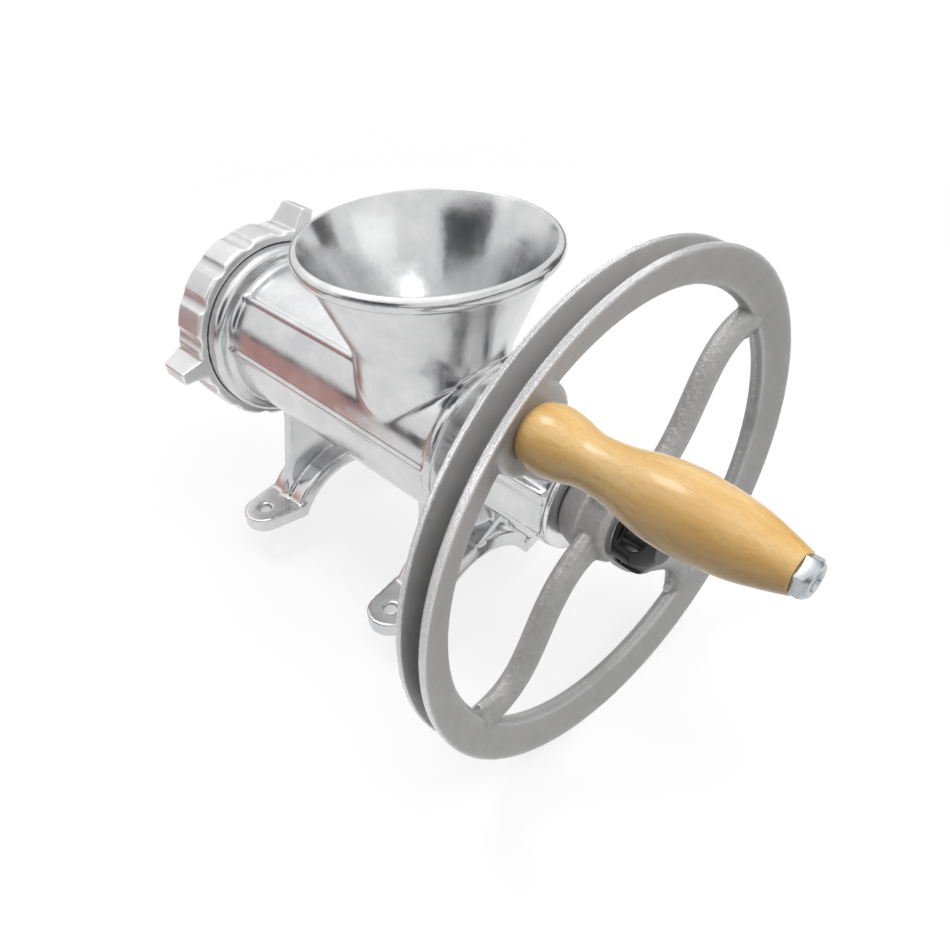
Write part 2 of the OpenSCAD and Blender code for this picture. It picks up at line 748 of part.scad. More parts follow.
module spring_washer() {
  color("dimgray") handle_ring(boss_back, boss_back + spring_washer_t, bolt_r*1.75, bolt_r + slip_gap);
}

module handle_nut() {
  start = boss_back + spring_washer_t;
  color("silver") handle_ring(start, start + nut_t, hex_flats/2/cos(30), bolt_r + fit_gap, 6);
}

module knob_washer() {
  color("gainsboro") ring(knob_base, hub_back, knob_washer_r, screw_r + slip_gap);
}

// Lobed knob with a round skirt towards the wheel and a domed end
module thumb_knob() {
  hollow_r = knob_r*0.34;
  first = 32;
  skirt = 3.5;
  tip = knob_base - knob_len;
  color("black") difference() {
    turned(concat(
      [[0, knob_base], [knob_r - 2, knob_base], [knob_r, knob_base - 2]],
      arc([knob_r - knob_len*0.3, knob_base - knob_len*0.55], knob_len*0.3, 0, -62, 4),
      [[knob_r*0.52, tip], [0, tip]]
    ));
    for (k = [0:knob_lobes - 1]) on_shaft(tip - past, first + k*360/knob_lobes)
      translate([knob_r + hollow_r*0.42, 0, 0]) cylinder(r = hollow_r, h = knob_len - skirt + past);
    ring(knob_base - knob_len*0.75, knob_base + past, screw_r + fit_gap);
  }
}

module knob_screw() {
  color("silver") ring(knob_base - knob_len*0.75, shaft_end + screw_hold, screw_r);
}

body_casting();
rear_bush();
thrust_washer();
plate_key();
ring_nut();
grinding_plate();
cutting_knife();
knife_stud();
auger();
auger_shaft();
cross_pin();
hub_washer();
pulley_wheel();
handle_bolt();
grip_sleeve();
wooden_grip();
spring_washer();
handle_nut();
knob_washer();
thumb_knob();
knob_screw();
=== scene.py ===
# %% [markdown]
# # A hand-cranked meat grinder
# The construction of this grinder comes from solids that are already packed: a barrel with its hopper
# and legs, a ring nut, an auger, and a big spoked wheel with a wooden grip. This lesson gives those
# solids their looks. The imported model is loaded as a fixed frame, in metres, with +Z up and the shaft
# along Y. Nothing of it is moved: a piece either gets a finish, or is replaced by a finer piece that
# sits in the very same place.

# %% Load the frame
import math

import bmesh
import bpy
import numpy as np
from mathutils import Matrix, Vector


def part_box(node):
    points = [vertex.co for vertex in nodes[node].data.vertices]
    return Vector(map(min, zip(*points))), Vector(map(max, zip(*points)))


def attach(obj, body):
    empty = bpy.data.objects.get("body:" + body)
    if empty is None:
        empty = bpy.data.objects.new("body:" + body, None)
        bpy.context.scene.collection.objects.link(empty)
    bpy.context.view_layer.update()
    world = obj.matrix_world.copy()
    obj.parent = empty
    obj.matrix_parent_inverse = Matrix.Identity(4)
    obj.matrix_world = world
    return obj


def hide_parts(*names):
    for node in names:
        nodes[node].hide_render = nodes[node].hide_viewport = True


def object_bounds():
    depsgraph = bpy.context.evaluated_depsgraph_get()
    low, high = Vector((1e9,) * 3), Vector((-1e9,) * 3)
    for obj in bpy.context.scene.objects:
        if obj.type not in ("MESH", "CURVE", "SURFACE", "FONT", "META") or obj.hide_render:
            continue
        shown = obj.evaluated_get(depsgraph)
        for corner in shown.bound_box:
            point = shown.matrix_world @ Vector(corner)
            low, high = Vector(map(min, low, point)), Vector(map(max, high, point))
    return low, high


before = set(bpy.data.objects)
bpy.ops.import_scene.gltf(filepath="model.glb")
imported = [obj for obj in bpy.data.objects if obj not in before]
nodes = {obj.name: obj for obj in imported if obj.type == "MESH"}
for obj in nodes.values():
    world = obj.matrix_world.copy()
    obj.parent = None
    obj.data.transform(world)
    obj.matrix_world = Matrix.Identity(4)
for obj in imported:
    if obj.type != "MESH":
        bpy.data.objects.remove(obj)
cad_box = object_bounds()
scene = bpy.context.scene
scene.view_settings.view_transform = "Standard"

# %% [markdown]
# ## The camera
# The photograph was taken from the handle's side, from above and to the left. Its angle, its distance
# and its focal length were worked out from the circles of the wheel, the collar and the hopper. A camera
# matrix is simply three axes and a place: right, up, and the direction that points back to the eye.

# %% Place the camera
AZIMUTH, ELEVATION, ROLL = (math.radians(a) for a in (-40.69, 40.11, -3.37))
EYE = Vector((-0.2703, -0.3606, 0.3895))
FOCAL_PX, CENTRE_PX, FRAME_PX = 857.72, (438.82, 506.65), 950.0

back = Vector((
    math.sin(AZIMUTH) * math.cos(ELEVATION),
    -math.cos(AZIMUTH) * math.cos(ELEVATION),
    math.sin(ELEVATION)))
level = Vector((0, 0, 1)).cross(back).normalized()
upright = back.cross(level)
right = math.cos(ROLL) * level + math.sin(ROLL) * upright
up = -math.sin(ROLL) * level + math.cos(ROLL) * upright

lens = bpy.data.cameras.new("photo_camera")
lens.sensor_width = 36.0
lens.lens = FOCAL_PX / FRAME_PX * lens.sensor_width
lens.shift_x = (FRAME_PX / 2 - CENTRE_PX[0]) / FRAME_PX
lens.shift_y = (CENTRE_PX[1] - FRAME_PX / 2) / FRAME_PX
lens.clip_start, lens.clip_end = 0.01, 50.0
camera = bpy.data.objects.new("photo_camera", lens)
camera.matrix_world = Matrix((
    (right.x, up.x, back.x, EYE.x),
    (right.y, up.y, back.y, EYE.y),
    (right.z, up.z, back.z, EYE.z),
    (0, 0, 0, 1)))
scene.collection.objects.link(camera)
scene.camera = camera
print("lens %.2f mm, shift %.4f %.4f" % (lens.lens, lens.shift_x, lens.shift_y))

# %% [markdown]
# ## Small helpers for meshes
# Every finished mesh becomes a piece that rides on a body of the frame and stands for one of its nodes.
# Most pieces start from the node's own triangles and run through Blender's modifiers. A turned piece
# needs even less: it is enough to sweep an outline round an axis, as a lathe does.

# %% Copy, lathe and finish helpers
SHAFT_Z = 0.1115
JOIN_DISTANCE = 2e-6


def add_piece(name, mesh, body, finish, node):
    """Link a finished mesh as a piece that rides on a body and stands for a node of the frame."""
    mesh.name = name
    piece = bpy.data.objects.new(name, mesh)
    scene.collection.objects.link(piece)
    mesh.polygons.foreach_set("use_smooth", np.ones(len(mesh.polygons), dtype=bool))
    mesh.materials.clear()
    mesh.materials.append(finish.material)
    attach(piece, body)
    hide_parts(node)
    print("%-18s %7d faces" % (name, len(mesh.polygons)))


def merged_copy(node):
    """A node's own triangles as a new mesh with its doubled corners joined."""
    work = bmesh.new()
    work.from_mesh(nodes[node].data)
    bmesh.ops.remove_doubles(work, verts=work.verts, dist=JOIN_DISTANCE)
    mesh = bpy.data.meshes.new(node + "_copy")
    work.to_mesh(mesh)
    work.free()
    return mesh


def through_modifiers(mesh, *steps):
    """Run a mesh through modifiers, given as (type, {setting: value}), and return a plain mesh."""
    holder = bpy.data.objects.new("holder", mesh)
    scene.collection.objects.link(holder)
    for kind, settings in steps:
        modifier = holder.modifiers.new(kind.lower(), kind)
        for key, value in settings.items():
            setattr(modifier, key, value)
    graph = bpy.context.evaluated_depsgraph_get()
    result = bpy.data.meshes.new_from_object(holder.evaluated_get(graph), depsgraph=graph)
    bpy.data.objects.remove(holder)
    return result


def lathe(outline, centre=(0.0, SHAFT_Z), segments=128):
    """Sweep an outline of (radius, y) pairs, in metres, once round an axis that runs along Y."""
    rings = len(outline)
    turn = np.linspace(0, 2 * math.pi, segments, endpoint=False)
    radius, along = np.array(outline).T
    points = np.empty((rings, segments, 3))
    points[:, :, 0] = centre[0] + radius[:, None] * np.cos(turn)
    points[:, :, 1] = along[:, None]
    points[:, :, 2] = centre[1] + radius[:, None] * np.sin(turn)
    faces = []
    for i in range(rings):
        k = (i + 1) % rings
        for j in range(segments):
            n = (j + 1) % segments
            faces.append((i * segments + j, i * segments + n, k * segments + n, k * segments + j))
    mesh = bpy.data.meshes.new("turned")
    mesh.from_pydata(points.reshape(-1, 3).tolist(), [], faces)
    work = bmesh.new()
    work.from_mesh(mesh)
    bmesh.ops.recalc_face_normals(work, faces=work.faces)
    work.to_mesh(mesh)
    work.free()
    return mesh


print("helpers ready")

# %% [markdown]
# ## From a sharp solid to a casting
# A casting starts from the solid too. Its skin is rebuilt as a fine even grid (a voxel remesh), the grid
# is drawn back onto the solid, and then it is relaxed. Relaxing rounds every sharp corner and fills
# every inner corner a little, which is just what a mould and a polishing wheel do to real metal.
#
# Handling rubs the outer corners of metal bright, and dirt and shade stay in the inner corners. To let a
# material know where that is, each corner point of a casting is compared with the average of its
# neighbours: if the average lies inside, the point is on an outer corner, and if it lies outside, it is
# in a hollow. Both are stored as attributes of the mesh.

# %% Relax a skin and measure its bends
BEND_REACH, BEND_ROUNDS = 0.0025, 3
LEAST_WEIGHT = 0.02
PULL, THIN_PULL, THIN_ROUNDS = 0.5, 0.35, 2


def corner_points(mesh):
    """The places of a mesh's corner points, and both ends of its edges in both directions."""
    place = np.empty(len(mesh.vertices) * 3)
    mesh.vertices.foreach_get("co", place)
    pair = np.empty(len(mesh.edges) * 2, dtype=np.int64)
    mesh.edges.foreach_get("vertices", pair)
    a, b = pair.reshape(-1, 2).T
    return place.reshape(-1, 3), np.concatenate([a, b]), np.concatenate([b, a])


def move_points(mesh, place):
    """Put a mesh's corner points at new places."""
    mesh.vertices.foreach_set("co", place.ravel())
    mesh.update()


def neighbour_mean(place, both, other, share):
    """The average place of each point's neighbours."""
    return np.stack([np.bincount(both, place[other, k], len(place)) / share for k in range(3)], 1)


def mark_bends(mesh):
    """Store the attributes edge and hollow, from 0 to 1, on every corner point."""
    place, both, other = corner_points(mesh)
    count = len(place)
    normal = np.array([n.vector for n in mesh.vertex_normals])
    share = np.bincount(both, minlength=count).clip(1)
    mean = neighbour_mean(place, both, other, share)
    size = np.bincount(both, np.linalg.norm(place[both] - place[other], axis=1), count) / share
    bend = ((mean - place) * normal).sum(1) * 2 / (size * size + 1e-12) * BEND_REACH
    for _ in range(BEND_ROUNDS):
        bend = 0.5 * bend + 0.5 * np.bincount(both, bend[other], count) / share
    for name, value in (("edge", -bend), ("hollow", bend)):
        layer = mesh.attributes.new(name, "FLOAT", "POINT")
        layer.data.foreach_set("value", np.clip(value, 0, 1).astype(np.float32))


def round_off(mesh, weight, rounds):
    """Relax a mesh many times where a weight from 0 to 1 is set, as a moulder's fillet would."""
    place, both, other = corner_points(mesh)
    near = weight[both] > LEAST_WEIGHT
    both, other = both[near], other[near]
    share = np.bincount(both, minlength=len(place)).clip(1)
    pull = PULL * np.where(weight > LEAST_WEIGHT, weight, 0)[:, None]
    for _ in range(rounds):
        place = place + pull * (neighbour_mean(place, both, other, share) - place)
    move_points(mesh, place)


def cast_skin(mesh, voxel, rounds, keep, refine=None):
    """Rebuild a solid as an even skin, relax it, refine it if asked, and thin it to a share of its faces."""
    guide = bpy.data.objects.new("guide", mesh)
    scene.collection.objects.link(guide)
    skin = through_modifiers(
        mesh,
        ("REMESH", {"mode": "VOXEL", "voxel_size": voxel, "use_smooth_shade": True}),
        ("SHRINKWRAP", {"target": guide, "wrap_method": "NEAREST_SURFACEPOINT"}),
        ("SMOOTH", {"factor": PULL, "iterations": rounds}))
    bpy.data.objects.remove(guide)
    if refine is not None:
        refine(skin)
    skin = through_modifiers(
        skin,
        ("DECIMATE", {"decimate_type": "COLLAPSE", "ratio": keep}),
        ("SMOOTH", {"factor": THIN_PULL, "iterations": THIN_ROUNDS}))
    mark_bends(skin)
    return skin


print("skins can be relaxed and measured")

# %% [markdown]
# ## Shared finishes as node groups
# Three effects turn up in several materials: the uneven skin of cast metal, fine tool lines, and the
# wear on corners. Each is built once as a node group with named inputs, and every material places it
# with its own values. A group only gives masks and heights; the shader itself stays in the material.

# %% Helpers for shader nodes
FLOAT, VECTOR = "NodeSocketFloat", "NodeSocketVector"


def give(tree, socket, value):
    """Set a socket to a number, or link another socket to it."""
    if isinstance(value, (int, float)):
        socket.default_value = value
    else:
        tree.links.new(value, socket)


def shader_group(name, numbers, outputs):
    """An empty shader group with a Place input, named number inputs and number outputs."""
    group = bpy.data.node_groups.new(name, "ShaderNodeTree")
    group.interface.new_socket("Place", in_out="INPUT", socket_type=VECTOR)
    for label, value in numbers.items():
        group.interface.new_socket(label, in_out="INPUT", socket_type=FLOAT).default_value = value
    for label in outputs:
        group.interface.new_socket(label, in_out="OUTPUT", socket_type=FLOAT)
    return group, group.nodes.new("NodeGroupInput").outputs, group.nodes.new("NodeGroupOutput").inputs


def math_node(tree, operation, *values, clamp=False):
    """One Math node; each value is a number or a socket."""
    node = tree.nodes.new("ShaderNodeMath")
    node.operation, node.use_clamp = operation, clamp
    for socket, value in zip(node.inputs, values):
        give(tree, socket, value)
    return node.outputs[0]


def noise_node(tree, place, scale, detail, rough):
    """A noise texture; scale is a number or a socket."""
    node = tree.nodes.new("ShaderNodeTexNoise")
    node.inputs["Detail"].default_value = detail
    node.inputs["Roughness"].default_value = rough
    tree.links.new(place, node.inputs["Vector"])
    give(tree, node.inputs["Scale"], scale)
    return node.outputs["Fac"]


print("shader helpers ready")

# %% [markdown]
# ### Three node groups
# The cast surface adds soft waves and fine grain to one height, and gives a cloud mask that is a little
# finer than the waves. The tool lines are a noise that is stretched much more one way than the other.
# The wear takes the edge attribute and breaks it up with spots.

# %% Build the node groups
CLOUD_FINENESS, SPOT_GAIN = 2.3, 2.0

cast_group, entry, leave = shader_group(
    "cast_surface", {"Wave Scale": 30.0, "Grain Scale": 700.0, "Wave": 0.5, "Grain": 0.5},
    ["Height", "Cloud"])
wave = noise_node(cast_group, entry["Place"], entry["Wave Scale"], detail=2.0, rough=0.45)
grain = noise_node(cast_group, entry["Place"], entry["Grain Scale"], detail=4.0, rough=0.6)
waves = math_node(cast_group, "MULTIPLY", wave, entry["Wave"])
grains = math_node(cast_group, "MULTIPLY", grain, entry["Grain"])
cast_group.links.new(math_node(cast_group, "ADD", waves, grains), leave["Height"])
finer = math_node(cast_group, "MULTIPLY", entry["Wave Scale"], CLOUD_FINENESS)
cloud = noise_node(cast_group, entry["Place"], finer, detail=5.0, rough=0.6)
cast_group.links.new(cloud, leave["Cloud"])

lines_group, entry, leave = shader_group("tool_lines", {"Fine": 2500.0, "Along": 40.0}, ["Height"])
stretch = lines_group.nodes.new("ShaderNodeMapping")
lines_group.links.new(entry["Place"], stretch.inputs["Vector"])
spread = lines_group.nodes.new("ShaderNodeCombineXYZ")
for axis, label in (("X", "Along"), ("Y", "Fine"), ("Z", "Along")):
    lines_group.links.new(entry[label], spread.inputs[axis])
lines_group.links.new(spread.outputs[0], stretch.inputs["Scale"])
streak = noise_node(lines_group, stretch.outputs[0], 1.0, detail=3.0, rough=0.6)
lines_group.links.new(streak, leave["Height"])

wear_group, entry, leave = shader_group(
    "corner_wear", {"Edge": 0.0, "Amount": 1.0, "Scale": 180.0}, ["Mask"])
spots = noise_node(wear_group, entry["Place"], entry["Scale"], detail=5.0, rough=0.65)
spots = math_node(wear_group, "MULTIPLY", spots, SPOT_GAIN)
uneven = math_node(wear_group, "MULTIPLY", entry["Edge"], spots)
mask = math_node(wear_group, "MULTIPLY", uneven, entry["Amount"], clamp=True)
wear_group.links.new(mask, leave["Mask"])
print("groups:", [g.name for g in (cast_group, lines_group, wear_group)])

# %% [markdown]
# ## Helpers for materials
# A material is a Principled shader with a few textures in front. The helper below opens one, and keeps
# the values that are the same all over the surface on the shader's own sockets. Everything reads Object
# coordinates: the pieces sit at the origin, so a pattern stays on its piece at every pose.

# %% Material helpers
MIX_FIRST, MIX_SECOND, MIX_RESULT = 6, 7, 2


def socket_name(label):
    """The name that Blender writes on a socket, from a name as Python writes it."""
    return label.upper() if label == "ior" else label.replace("_", " ").title()


class Finish:
    """A new material that knows its slot's name, with short calls for the nodes in front of its shader."""

    def __init__(self, name, **values):
        self.slot = name
        self.material = bpy.data.materials.new(name)
        self.material.use_nodes = True
        self.tree = self.material.node_tree
        self.shader = next(n for n in self.tree.nodes if n.type == "BSDF_PRINCIPLED")
        self.place = self.tree.nodes.new("ShaderNodeTexCoord").outputs["Object"]
        for label, value in values.items():
            self.shader.inputs[socket_name(label)].default_value = value

    def group(self, group, **values):
        """Place a shared node group and give its named inputs."""
        node = self.tree.nodes.new("ShaderNodeGroup")
        node.node_tree = group
        self.tree.links.new(self.place, node.inputs["Place"])
        for label, value in values.items():
            give(self.tree, node.inputs[socket_name(label)], value)
        return node.outputs

    def attribute(self, name):
        """A number that is stored on the mesh."""
        node = self.tree.nodes.new("ShaderNodeAttribute")
        node.attribute_name = name
        return node.outputs["Fac"]

    def calc(self, operation, *values):
        """One Math node."""
        return math_node(self.tree, operation, *values)

    def ramp(self, value, low, high, start=0.0, end=1.0):
        """Map the range from start to end onto the range from low to high, and stop there."""
        node = self.tree.nodes.new("ShaderNodeMapRange")
        node.clamp = True
        for label, number in (("From Min", start), ("From Max", end), ("To Min", low), ("To Max", high)):
            node.inputs[label].default_value = number
        self.tree.links.new(value, node.inputs["Value"])
        return node.outputs["Result"]

    def mask(self, value, start, end):
        """A mask that rises from 0 at start to 1 at end."""
        return self.ramp(value, 0.0, 1.0, start, end)

    def mix(self, mask, first, second):
        """Mix two colours; each is a tuple or a socket."""
        node = self.tree.nodes.new("ShaderNodeMix")
        node.data_type = "RGBA"
        self.tree.links.new(mask, node.inputs["Factor"])
        for socket, value in ((node.inputs[MIX_FIRST], first), (node.inputs[MIX_SECOND], second)):
            if isinstance(value, tuple):
                socket.default_value = (*value, 1.0)
            else:
                self.tree.links.new(value, socket)
        return node.outputs[MIX_RESULT]

    def shaft_distance(self):
        """Distance from the shaft's axis, in metres."""
        split = self.tree.nodes.new("ShaderNodeSeparateXYZ")
        self.tree.links.new(self.place, split.inputs[0])
        x = split.outputs["X"]
        z = self.calc("SUBTRACT", split.outputs["Z"], SHAFT_Z)
        return self.calc("SQRT", self.calc("ADD", self.calc("MULTIPLY", x, x), self.calc("MULTIPLY", z, z)))

    def set(self, label, socket):
        """Link a socket to an input of the shader."""
        self.tree.links.new(socket, self.shader.inputs[label])

    def bump(self, height, strength, distance):
        """Turn a height into the shader's normal."""
        node = self.tree.nodes.new("ShaderNodeBump")
        node.inputs["Strength"].default_value = strength
        node.inputs["Distance"].default_value = distance
        self.tree.links.new(height, node.inputs["Height"])
        self.set("Normal", node.outputs[0])


print("material helpers ready")

# %% [markdown]
# ## The polished casting
# The barrel, the hopper and the legs are one aluminium casting, tumbled and polished until it mirrors
# its surroundings. It never gets flat like a mirror, though: long soft waves remain in the skin and bend
# every reflection. The waves go into a Bump node. The roughness changes in clouds, and inner corners
# get painted shade, a darker colour. The ring nut is the same metal, but only brushed, and its corners
# are rubbed bright.

# %% Polished and satin aluminium
finish = Finish("polished_aluminium", metallic=1.0)
skin = finish.group(cast_group, wave_scale=22.0, grain_scale=420.0, wave=1.0, grain=0.05)
shade = finish.mix(finish.mask(skin["Cloud"], 0.34, 0.68), (0.585, 0.589, 0.598), (0.71, 0.71, 0.71))
# painted shade: the base colour darkens toward a dark grey in inner corners
hollow_painted_shade = finish.ramp(finish.attribute("hollow"), 0.0, 0.6, start=0.1, end=0.9)
finish.set("Base Color", finish.mix(hollow_painted_shade, shade, (0.36, 0.36, 0.37)))
finish.set("Roughness", finish.ramp(skin["Cloud"], 0.13, 0.30, start=0.3, end=0.75))
finish.bump(skin["Height"], strength=0.5, distance=0.0012)
polished_aluminium = finish

finish = Finish("satin_aluminium", metallic=1.0)
skin = finish.group(cast_group, wave_scale=60.0, grain_scale=1500.0, wave=0.5, grain=0.6)
wear = finish.group(wear_group, edge=finish.attribute("edge"), amount=1.2, scale=260.0)
shade = finish.mix(skin["Cloud"], (0.56, 0.56, 0.565), (0.72, 0.72, 0.72))
finish.set("Base Color", finish.mix(wear["Mask"], shade, (0.93, 0.93, 0.93)))
finish.set("Roughness", finish.ramp(skin["Cloud"], 0.30, 0.46, start=0.3, end=0.75))
finish.bump(skin["Height"], strength=0.3, distance=0.0004)
satin_aluminium = finish
print("aluminium:", polished_aluminium.slot, satin_aluminium.slot)

# %% [markdown]
# ### Places that are worked by hand
# A polisher works some places of the casting by hand, and so do these functions. The hopper's inner wall
# runs on, a little flared, to the top of its rolled rim. The edges of the two leg webs are laid back on
# their planes. The root of the hopper gets a soft fillet. Each place is found by its distance from a
# simple form: a cylinder, a curve or a slanting line.

# %% Find and refine the worked places
HOPPER_Y, NECK_R, BARREL_R = -0.049, 0.043, 0.0476
ROOT_SPREAD, ROOT_ABOVE, ROOT_DEPTH, ROOT_ROUNDS = 0.0025, 0.012, 0.003, 14
FLARE_R, FLARE_H, FLARE_RISE = 0.0554, 0.088, 0.0184
FLARE_SLOPE, FLARE_CURVE = 0.433, 6.3
RIM_SPREAD, RIM_ROUNDS = 0.0016, 5
LEG_Y, WEB_LOW, WEB_TOP = 0.0675, (0.0434, 0.009), (0.0315, 0.0758)
WEB_HALF, WEB_ROUND, WEB_NEAR, WEB_REACH = 0.003, 0.0012, 0.0045, 0.004
WEB_SPREAD, WEB_ROUNDS = 0.003, 40
SOFT_FROM, SOFT_TO = -0.05, 0.94
TRUE_FROM, TRUE_TO, FADE_IN, FADE_OUT = 0.1, 0.96, 0.12, 0.06


def bell(off_squared, spread):
    """A weight that is 1 at a place and fades with the distance from it."""
    return np.exp(-off_squared / (2 * spread ** 2))


def hopper_root(place):
    """Weight that is 1 where the hopper's neck grows out of the barrel."""
    x, y, z = place.T
    off_neck = np.hypot(x, y - HOPPER_Y) - NECK_R
    off_barrel = np.hypot(x, z - SHAFT_Z) - BARREL_R
    outside = (z > SHAFT_Z + ROOT_ABOVE) & (off_neck > -ROOT_DEPTH) & (off_barrel > -ROOT_DEPTH)
    return np.where(outside, bell(off_neck ** 2 + off_barrel ** 2, ROOT_SPREAD), 0)


def flare_width(rise):
    """Radius of the flared wall at a height above the foot of the flare."""
    return FLARE_R + FLARE_SLOPE * rise + FLARE_CURVE * rise ** 2


def flare_rim(skin):
    """Let the hopper's inner wall run on, a little flared, to the top of its rolled rim."""
    place = corner_points(skin)[0]
    aside = place[:, :2] - (0.0, HOPPER_Y)
    reach = np.hypot(*aside.T)
    rise = place[:, 2] - SHAFT_Z - FLARE_H
    wall = flare_width(rise)
    inner = (rise > 0) & (reach < wall)
    place[inner, :2] = (0.0, HOPPER_Y) + aside[inner] * (wall / reach)[inner, None]
    move_points(skin, place)
    off_edge = (reach - flare_width(FLARE_RISE)) ** 2 + (rise - FLARE_RISE) ** 2
    round_off(skin, bell(off_edge, RIM_SPREAD), RIM_ROUNDS)


def off_webs(place):
    """How far up a leg web each point lies, how far beyond its slanting edge, and how far off its middle."""
    x, y, z = place.T
    climb = (z - WEB_LOW[1]) / (WEB_TOP[1] - WEB_LOW[1])
    beyond = np.abs(x) - WEB_LOW[0] - (WEB_TOP[0] - WEB_LOW[0]) * climb
    return climb, beyond, np.abs(y) - LEG_Y


def web_edges(place):
    """Weight that is 1 on the slanting edges of the two leg webs."""
    climb, beyond, across = off_webs(place)
    on_web = (np.abs(across) < WEB_NEAR) & (climb > SOFT_FROM) & (climb < SOFT_TO)
    return np.where(on_web, bell(beyond ** 2, WEB_SPREAD), 0)


def true_webs(skin):
    """Lay the slanting edges of the leg webs back on their planes, with corners of one radius."""
    place = corner_points(skin)[0]
    climb, beyond, across = off_webs(place)
    out = beyond + WEB_ROUND
    aside = across - np.clip(across, WEB_ROUND - WEB_HALF, WEB_HALF - WEB_ROUND)
    on_web = (np.abs(across) < WEB_NEAR) & (out > 0) & (out < WEB_REACH)
    fade = np.clip((climb - TRUE_FROM) / FADE_IN, 0, 1) * np.clip((TRUE_TO - climb) / FADE_OUT, 0, 1)
    shift = np.where(on_web, fade, 0) * (WEB_ROUND / np.hypot(out, aside).clip(1e-6) - 1)
    place[:, 0] += np.sign(place[:, 0]) * shift * out
    place[:, 1] += np.sign(place[:, 1]) * shift * aside
    move_points(skin, place)


def refine_body(skin):
    """Work the rim, the webs and the hopper's root, one after the other."""
    flare_rim(skin)
    round_off(skin, web_edges(corner_points(skin)[0]), WEB_ROUNDS)
    true_webs(skin)
    round_off(skin, hopper_root(corner_points(skin)[0]), ROOT_ROUNDS)


print("worked places can be found")

# %% [markdown]
# ### The body and the ring nut
# The size of the remesh grid sets how fine the skin is, and the number of rounds how soft its corners
# get. The skin is thinned at the end, because flat faces need few triangles.

# %% Cast the body and the ring nut
body = cast_skin(merged_copy("body_casting"), voxel=0.0011, rounds=8, keep=0.36, refine=refine_body)
add_piece("grinder_body", body, "stand", polished_aluminium, "body_casting")
nut = cast_skin(merged_copy("ring_nut"), voxel=0.0008, rounds=3, keep=0.5)
add_piece("lugged_ring", nut, "ring", satin_aluminium, "ring_nut")

# %% [markdown]
# ## A helper for geometry trees
# Some forms follow a rule: four equal spokes, or a helical flight. Geometry Nodes can make them from a
# few named sizes. The helper builds such a tree, runs it once, and gives back a plain mesh.

# %% Helper for geometry trees


class Tree:
    """A geometry node tree with named number inputs, ending in Realize Instances and Set Material."""

    def __init__(self, name, sizes, material):
        self.group = bpy.data.node_groups.new(name, "GeometryNodeTree")
        self.sizes = sizes
        for label, value in sizes.items():
            kind = "NodeSocketInt" if isinstance(value, int) else FLOAT
            self.group.interface.new_socket(label, in_out="INPUT", socket_type=kind).default_value = value
        self.group.interface.new_socket("Geometry", in_out="OUTPUT", socket_type="NodeSocketGeometry")
        self.entry = self.group.nodes.new("NodeGroupInput")
        self.material = material

    def node(self, kind, links=None, **settings):
        """A node with its settings, and with its inputs linked or given."""
        node = self.group.nodes.new(kind)
        for key, value in settings.items():
            setattr(node, key, value)
        for key, value in (links or {}).items():
            if isinstance(value, bpy.types.NodeSocket):
                self.group.links.new(value, node.inputs[key])
            else:
                node.inputs[key].default_value = value
        return node.outputs

    def size(self, label):
        """One of the tree's named sizes."""
        return self.entry.outputs[label]

    def math(self, operation, first, second=0.0, third=0.0):
        """One Math node."""
        return self.node("ShaderNodeMath", {0: first, 1: second, 2: third}, operation=operation)[0]

    def vector(self, **parts):
        """A vector from the parts X, Y and Z that are named."""
        return self.node("ShaderNodeCombineXYZ", parts)[0]

    def mesh(self, geometry):
        """Finish the tree, run it on an empty mesh and give back a plain mesh."""
        real = self.node("GeometryNodeRealizeInstances", {"Geometry": geometry})[0]
        paint = self.node("GeometryNodeSetMaterial", {"Geometry": real, "Material": self.material})[0]
        out = self.group.nodes.new("NodeGroupOutput")
        self.group.links.new(paint, out.inputs["Geometry"])
        holder = bpy.data.objects.new(self.group.name, bpy.data.meshes.new(self.group.name))
        scene.collection.objects.link(holder)
        modifier = holder.modifiers.new("tree", "NODES")
        modifier.node_group = self.group
        for item in self.group.interface.items_tree:
            if item.item_type == "SOCKET" and item.in_out == "INPUT":
                modifier[item.identifier] = self.sizes[item.name]
        graph = bpy.context.evaluated_depsgraph_get()
        result = bpy.data.meshes.new_from_object(holder.evaluated_get(graph), depsgraph=graph)
        holder.modifiers.remove(modifier)
        bpy.data.objects.remove(holder)
        print("%-18s %7d faces from nodes" % (self.group.name, len(result.polygons)))
        return result


print("tree helper ready")

# %% [markdown]
# ## The pulley wheel
# The wheel is cast iron under silver-grey paint. Only the lips of its belt groove are bare: they were
# turned after casting and glitter. The spokes and the hub keep the rough skin of the casting, and the
# rim is smoother. So the finish depends on the distance from the shaft.

# %% Silver-grey wheel paint
LIP_FROM, LIP_TO = 0.1337, 0.1345
SMOOTH_FROM, SMOOTH_TO, SMOOTH_GRAIN = 0.114, 0.119, 0.16
GLITTER_SCALE, GLITTER_HEIGHT, GRAIN_HEIGHT = 2400.0, 1.8, 3.2

finish = Finish("wheel_paint")
skin = finish.group(cast_group, wave_scale=45.0, grain_scale=330.0, wave=0.4, grain=1.0)
reach = finish.shaft_distance()
lip = finish.mask(reach, LIP_FROM, LIP_TO)
rough_cast = finish.ramp(reach, 1.0, SMOOTH_GRAIN, SMOOTH_FROM, SMOOTH_TO)
wear = finish.group(wear_group, edge=finish.attribute("edge"), amount=0.8, scale=420.0)
bare = finish.calc("MAXIMUM", lip, wear["Mask"])
specks = finish.mask(noise_node(finish.tree, finish.place, 260.0, detail=4.0, rough=0.7), 0.66, 0.74)
shade = finish.mix(finish.mask(skin["Cloud"], 0.35, 0.7), (0.410, 0.405, 0.401), (0.460, 0.455, 0.450))
# painted shade: the paint colour darkens in hollows, such as the floor of the belt groove
shade = finish.mix(finish.ramp(finish.attribute("hollow"), 0.0, 0.55), shade, (0.16, 0.16, 0.16))
shade = finish.mix(finish.ramp(specks, 0.0, 0.22), shade, (0.24, 0.24, 0.24))
glitter = finish.tree.nodes.new("ShaderNodeTexVoronoi")
glitter.inputs["Scale"].default_value = GLITTER_SCALE
